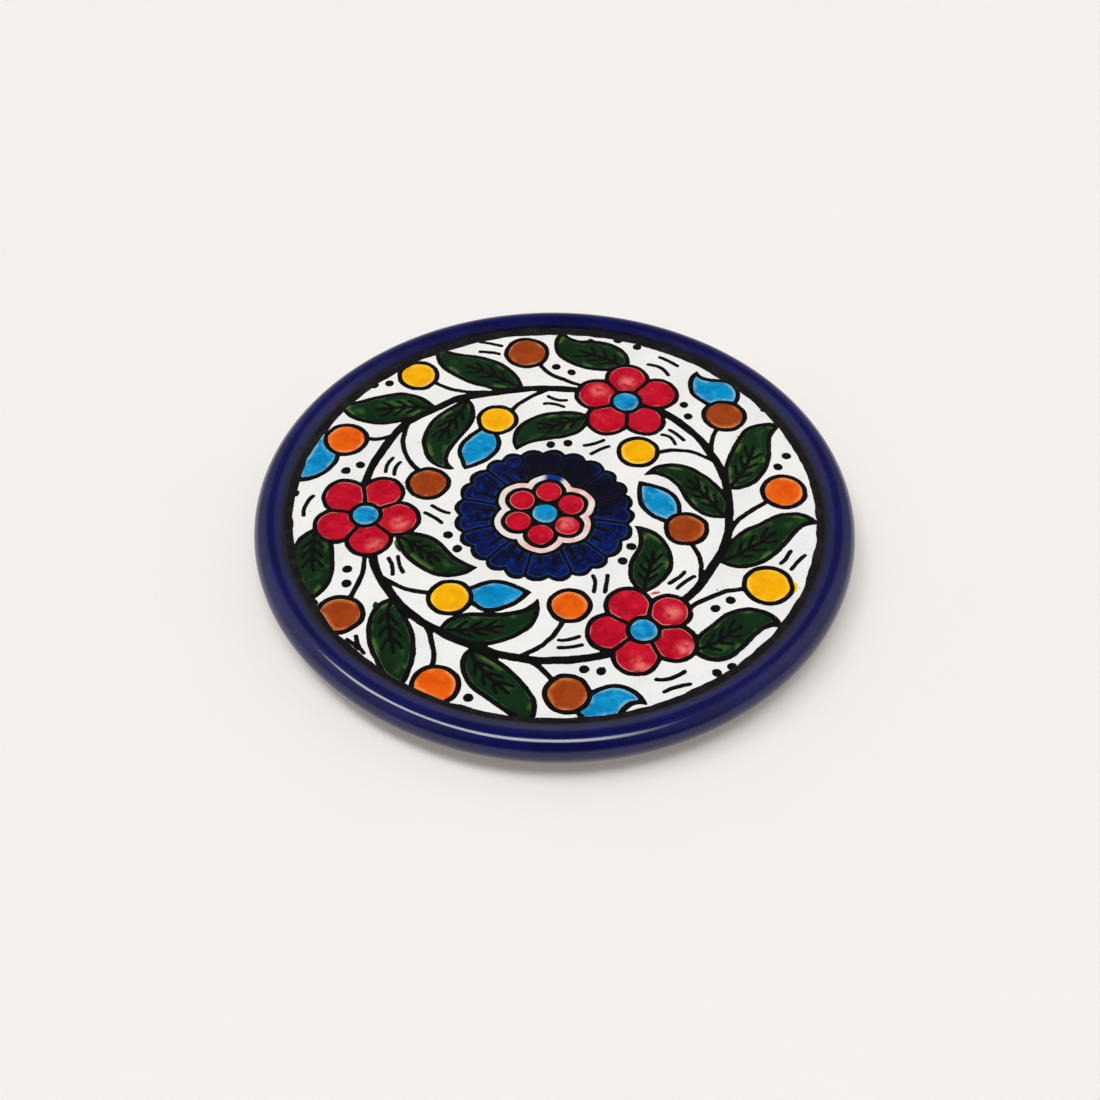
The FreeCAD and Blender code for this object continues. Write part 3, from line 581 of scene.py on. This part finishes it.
def clear_glaze():
    """Clear glaze over buff clay: warm cream, with soft brown clouds and specks."""
    glaze = Glaze("clear_over_clay", paint(214, 196, 172), gloss=1.5)
    glaze.tone(glaze.mottle(11.0, 0.42, 0.66), paint(200, 178, 150))
    glaze.tone(glaze.mottle(0.7, 0.68, 0.74, shift=2.0), paint(128, 98, 74), 0.7)
    return glaze.done(rough=(0.12, 0.24), peel=0.03)


def bare_clay():
    """The foot's bare fired clay: matt, fine grained and a little stained."""
    glaze = Glaze("bare_clay", paint(202, 176, 146), gloss=1.35)
    glaze.tone(glaze.mottle(7.0, 0.42, 0.62), paint(186, 156, 124))
    glaze.tone(glaze.mottle(0.6, 0.6, 0.72, shift=2.0), paint(150, 120, 92), 0.7)
    return glaze.done(rough=(0.62, 0.82), peel=0.06, peel_size=0.9, grain=0.7)


black, border, white, cobalt = black_glaze(), border_glaze(), white_glaze(), cobalt_glaze()
red, blue, green, ring, band = red_glaze(), blue_glaze(), green_glaze(), ring_glaze(), band_glaze()
yellow = berry_glaze("yellow_enamel", (242, 175, 0), (234, 163, 0), (250, 204, 56))
orange = berry_glaze("orange_enamel", (227, 95, 6), (216, 80, 3), (240, 144, 70))
brown = berry_glaze("brown_enamel", (155, 64, 17), (143, 54, 12), (202, 116, 54))
clear, clay = clear_glaze(), bare_clay()

# ---------------------------------------------------------------- the plate's own body

for node, finish in (("clay_body", clay), ("underside_glaze", clear), ("recess_glaze", clear)):
    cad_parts[node].data.materials.clear()
    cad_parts[node].data.materials.append(finish)


def face_section():
    """The white face: a top from the axis out, a wall, and a flat underside back to the axis. The top
    stands at face + w sin(r / p) c - d, where w is face_wave, p is face_wave_radius, d is face_drop, and
    c falls from 1 to 0 over face_calm at the border."""
    border_r = cove_start - face_gap
    out = np.linspace(0, 1, face_rings) ** face_crowding * border_r
    calm = np.clip((cove_start - out) / face_calm, 0, 1)
    top = np.c_[out, face + face_wave * np.sin(out / face_wave_radius) * calm - face_drop]
    low = face - glaze_depth * face_depth
    return np.concatenate([top, [[border_r, low], [0, low]]])


carried_round("white_face", face_section(), face_around, True, ["ground_glaze"], "white_glaze", white)

foot_points = node_points("underside_glaze")[0]
foot_radius = np.hypot(foot_points[:, 0], foot_points[:, 1]).min()


def rim_section():
    """The cobalt skin as a closed ring: outside, up a small cove, a straight slope that touches the roll,
    and over the roll to the underside, where it thins to an edge; inside, the same line a glaze's depth
    within. A point of an arc lies at centre + radius (cos t, sin t), where t is its turn: the angle its
    outside faces, 0 outward and 90 up. Its run is the length along the outside from the cove's foot."""
    low, high = box("underside_glaze")
    rim_low = rim_points[:, 2].min()
    underside_slope = math.degrees(math.atan2(rim_low - low[2], high[0] - foot_radius))
    touch = math.radians(slope_turn)
    touch_r, touch_rise = roll_r + roll * math.cos(touch), roll_z + roll * math.sin(touch) - face
    slope_run = (touch_rise - cove * (1 - math.sin(touch))) * -math.tan(touch)
    slope_start = touch_r - slope_run + cove * math.cos(touch)
    cove_turn = np.linspace(90, slope_turn, cove_steps)
    roll_turn = np.linspace(slope_turn, underside_slope - 90, roll_steps)
    bend = np.radians(cove_turn)
    cove_line = np.c_[slope_start - cove * np.cos(bend), face + cove - cove * np.sin(bend)]
    bend = np.radians(roll_turn)
    roll_line = np.c_[roll_r + roll * np.cos(bend), roll_z + roll * np.sin(bend)]
    share = np.linspace(0, 1, slope_steps)[1:-1, None]
    slope_line = cove_line[-1] + share * (roll_line[0] - cove_line[-1])
    share = np.linspace(0, 1, lap_steps)[1:, None]
    lap_line = roll_line[-1] + share * (np.array([high[0], rim_low]) - roll_line[-1])
    outside = np.concatenate([cove_line, slope_line, roll_line, lap_line])
    turn = np.concatenate([cove_turn, np.full(len(slope_line), slope_turn), roll_turn,
                           np.full(len(lap_line), roll_turn[-1])])
    run = np.append(0, np.cumsum(np.linalg.norm(np.diff(outside, axis=0), axis=1)))
    faced = np.radians(turn)
    inside = outside - glaze_depth * cobalt_depth * np.c_[np.cos(faced), np.sin(faced)]
    closed = np.concatenate([outside, inside[::-1]])
    return closed, np.append(turn, turn[::-1]), np.append(run, run[::-1])


section, turns, runs = rim_section()
carried_round("cobalt_rim", section, rim_around, False, ["rim_glaze"], "cobalt_glaze", cobalt,
              waves=(throwing_wave, throwing_wave * throwing_rise), turn=turns, run=runs)

# ---------------------------------------------------------------- the painting


def lay(name, slot, material, edge_width=pool_edge, spread=pool_spread, stray=1.0):
    """Paints over one CAD layer, from its lowest level to its highest, both brought down to relief
    times their height over the face."""
    edges = outline(name)
    if name == "border_line":
        away = np.linalg.norm(edges, axis=2, keepdims=True)
        edges = edges * np.where(away > cove_start - border_reach, 1 + border_lap / away, 1)
    low, high = face + relief * (np.array([box(name)[0][2], box(name)[1][2]]) - face)
    return painted(name + "_paint", edges, low, high - low, edge_width, spread,
                   [name], slot, material, stray)


outlines = ("line_work", "rosette_lines", "rosette_strokes")
bold_strokes = ("filler_dashes", "filler_dots", "leaf_veins")
berry_finish = {"yellow": yellow, "orange": orange, "brown": brown}
for name in sorted(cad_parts):
    if name in outlines:
        lay(name, "black_line", black, line_edge, line_spread)
    elif name in bold_strokes:
        lay(name, "black_line", black, line_edge, line_spread * bold_share)
    elif name == "border_line":
        lay(name, "black_line", border, line_edge, line_spread, border_stray)
    elif name.endswith("_petals"):
        lay(name, "red_enamel", red)
    elif name.endswith("_core") or name.startswith("bud"):
        lay(name, "blue_enamel", blue)
    elif name.startswith("leaf"):
        lay(name, "green_enamel", green, leaf_edge)
    elif name == "rosette_ring":
        lay(name, "ring_enamel", ring, leaf_edge)
    elif name == "rosette_band":
        lay(name, "band_enamel", band, leaf_edge)
    elif name.startswith("berry"):
        tint = name.split("_")[1]
        lay(name, tint + "_enamel", berry_finish[tint])

# Where the brush slipped: a CAD piece and the place counted from its middle, length, width, turn.
slips = {
    "orange_speck": ("berry_brown_2", (2.9, -7.7), 0.7, 0.55, 0, "orange_enamel", orange),
    "red_speck": ("flower_west_core", (-14.0, 1.1), 0.6, 0.5, 0, "red_enamel", red),
    "dark_speck_1": ("berry_brown_3", (-6.1, 0.2), 0.6, 0.5, 0, "black_line", black),
    "dark_speck_2": ("berry_yellow_4", (-12.5, -1.5), 0.6, 0.5, 0, "black_line", black),
    "red_slip_1": ("flower_south_core", (3.1, 11.6), 2.6, 1.0, 15, "red_enamel", red),
    "red_slip_2": ("rosette_core", (-6.1, -8.4), 2.2, 1.4, 30, "red_enamel", red),
    "yellow_slip": ("berry_yellow_4", (4.6, 0.3), 4.6, 6.2, 0, "yellow_enamel", yellow),
    "green_slip_1": ("berry_brown_1", (17.7, 5.2), 2.2, 1.6, 20, "green_enamel", green),
    "green_slip_2": ("flower_west_core", (8.9, -10.2), 1.8, 4.6, 15, "green_enamel", green),
    "green_slip_3": ("berry_brown_5", (8.5, 2.8), 1.6, 2.4, 0, "green_enamel", green),
    "border_slip_1": ("flower_west_core", (-18.2, 7.4), 1.6, 2.4, 10, "black_line", border),
    "border_slip_2": ("berry_brown_5", (-6.4, 3.6), 1.8, 2.6, 30, "black_line", border),
    "border_slip_3": ("berry_brown_2", (10.8, 2.3), 1.6, 2.2, 60, "black_line", border),
}
for seed, (name, (node, offset, length, width, turn, slot, finish)) in enumerate(slips.items()):
    ring_of_drop = blob_outline(near(node, *offset), length, width, turn, seed=seed)
    painted(name, ring_of_drop, face, slip_height, slip_height * slip_edge, 0.0, [], slot, finish)

# ---------------------------------------------------------------- studio


# The lamp, in the plane overhead: how bright it is, where its line runs (from across this to across that
# its away changes from this to that), where it fades to each side of the line, and where each end fades.
lamp_light = 10.6
lamp_swing = (-0.62, -0.12, 0.15, -0.21)
lamp_width = (0.07, 0.24)
lamp_left, lamp_right = (-0.74, -0.56), (0.06, 0.46)

# The dim walls: how bright, up to which elevation, over how many degrees they fade out above it, and
# from which y to which they come in. The haze and the dark light are what is left overhead and low down.
wall_light, wall_top, wall_fade, wall_front = 0.36, 56.0, 16.0, (-0.35, 0.25)
haze_light, haze_start, haze_full, dark_light = 0.45, 6.0, 16.0, 0.05
flattest = 0.05         # lowest z that the lamp's plane is worked out for
light_colour = (1.0, 0.99, 0.975, 1.0)

# Soft patches: azimuth, elevation, full within so many degrees, gone at so many, and how bright.
mirror_gap = (90.0, 48.0, 8.0, 26.0, 0.24)
windows = [(182.0, 36.0, 12.0, 55.0, 0.36), (-2.0, 38.0, 12.0, 55.0, 0.3)]


def mix_light():
    """The studio round the plate, all by direction. A long bright lamp hangs overhead from left to right:
    in the plane overhead, across = x / z and away = y / z, it is a band about a line that swings back on
    the left. Low walls give a dim glow on every side but the front, weaker where the flat face mirrors
    them."""
    world = bpy.data.worlds.new("studio")
    bpy.context.scene.world = world
    world.use_nodes = True
    tree = world.node_tree
    way = tree.nodes.new("ShaderNodeTexCoord").outputs["Generated"]
    split = tree.nodes.new("ShaderNodeSeparateXYZ")
    tree.links.new(way, split.inputs[0])

    def span(value, low, high, out_low, out_high):
        made = tree.nodes.new("ShaderNodeMapRange")
        made.interpolation_type = "SMOOTHSTEP"
        tree.links.new(value, made.inputs[0])
        for socket, item in zip(list(made.inputs)[1:], (low, high, out_low, out_high)):
            socket.default_value = item
        return made.outputs[0]

    def both(operation, one, two):
        made = tree.nodes.new("ShaderNodeMath")
        made.operation = operation
        for socket, item in zip(made.inputs, (one, two)):
            if isinstance(item, float):
                socket.default_value = item
            else:
                tree.links.new(item, socket)
        return made.outputs[0]

    def lobe(azimuth, elevation, full, soft, light):
        """light within full degrees of a direction, fading to 0 at soft degrees."""
        a, e = math.radians(azimuth), math.radians(elevation)
        dot = tree.nodes.new("ShaderNodeVectorMath")
        dot.operation = "DOT_PRODUCT"
        tree.links.new(way, dot.inputs[0])
        dot.inputs[1].default_value = (math.cos(e) * math.cos(a), math.cos(e) * math.sin(a), math.sin(e))
        edge, middle = math.cos(math.radians(soft)), math.cos(math.radians(full))
        return span(dot.outputs["Value"], edge, middle, 0.0, light)

    def sine(angle):
        return math.sin(math.radians(angle))

    x, y, z = split.outputs
    high = both("MAXIMUM", z, flattest)
    across, away = both("DIVIDE", x, high), both("DIVIDE", y, high)
    off_line = both("ABSOLUTE", both("SUBTRACT", away, span(across, *lamp_swing)), 0.0)
    lamp = both("MULTIPLY", span(off_line, *lamp_width, lamp_light, 0.0),
                both("MULTIPLY", span(across, *lamp_left, 0.0, 1.0), span(across, *lamp_right, 1.0, 0.0)))
    wall = both("MULTIPLY", span(z, sine(wall_top), sine(wall_top + wall_fade), wall_light, 0.0),
                span(y, *wall_front, 0.0, 1.0))
    wall = both("SUBTRACT", wall, lobe(*mirror_gap))
    haze = span(z, sine(haze_start), sine(haze_full), haze_light, 0.0)
    total = both("MAXIMUM", both("MAXIMUM", wall, haze), dark_light)
    for side in windows:
        total = both("ADD", total, lobe(*side))
    total = both("ADD", total, lamp)
    background = tree.nodes["Background"]
    tree.links.new(total, background.inputs["Strength"])
    background.inputs["Color"].default_value = light_colour


mix_light()


floor_reach, floor_lines = 3000.0, 41       # half its side, and how many grid lines each way
floor_drop = 0.03                           # how far it lies below the foot
# Painted light: the floor's warm glow lifts the plate's shadow on the floor and warms it.
floor_glow, glow_colour = 0.165, (1.0, 0.9, 0.8, 1.0)


def paper_floor():
    """A wide pale paper floor that glows a little, a painted fill light that lifts the plate's shadow on
    it and warms it: a flat square grid in plan, z = -floor_drop.
    """
    side = np.linspace(-floor_reach, floor_reach, floor_lines)
    across, away = np.meshgrid(side, side, indexing="ij")
    points = np.stack([across, away, np.full_like(across, -floor_drop)], -1).reshape(-1, 3)
    index = np.arange(len(points)).reshape(floor_lines, floor_lines)
    faces = np.stack([index[:-1, :-1], index[1:, :-1], index[1:, 1:], index[:-1, 1:]], -1).reshape(-1, 4)
    mesh = bpy.data.meshes.new("paper_floor")
    mesh.from_pydata(points * MM, [], faces.tolist())
    floor = bpy.data.objects.new("paper_floor", mesh)
    bpy.context.scene.collection.objects.link(floor)
    paper = Glaze("pale_paper", paint(217, 215, 213), gloss=1.2)
    paper.tone(paper.mottle(40.0, 0.35, 0.65), paint(216, 214, 212))
    paper.shader.inputs["Emission Color"].default_value = glow_colour
    paper.shader.inputs["Emission Strength"].default_value = floor_glow
    mesh.materials.append(paper.done(rough=(0.8, 0.9), peel=0.01))


paper_floor()

# ---------------------------------------------------------------- camera

camera_place = (-1.135, -304.518, face + 322.887)
camera_lens = 57.273
camera_elevation = 48.12
camera_roll = 0.515

lens = bpy.data.cameras.new("camera")
lens.lens = camera_lens
lens.sensor_width = 36.0
lens.clip_start, lens.clip_end = 0.01, 20.0
camera = bpy.data.objects.new("camera", lens)
bpy.context.scene.collection.objects.link(camera)
camera.matrix_world = (Matrix.Translation([place * MM for place in camera_place])
                       @ Matrix.Rotation(math.radians(90 - camera_elevation), 4, "X")
                       @ Matrix.Rotation(math.radians(camera_roll), 4, "Z"))
bpy.context.scene.camera = camera
bpy.context.scene.view_settings.view_transform = "Standard"
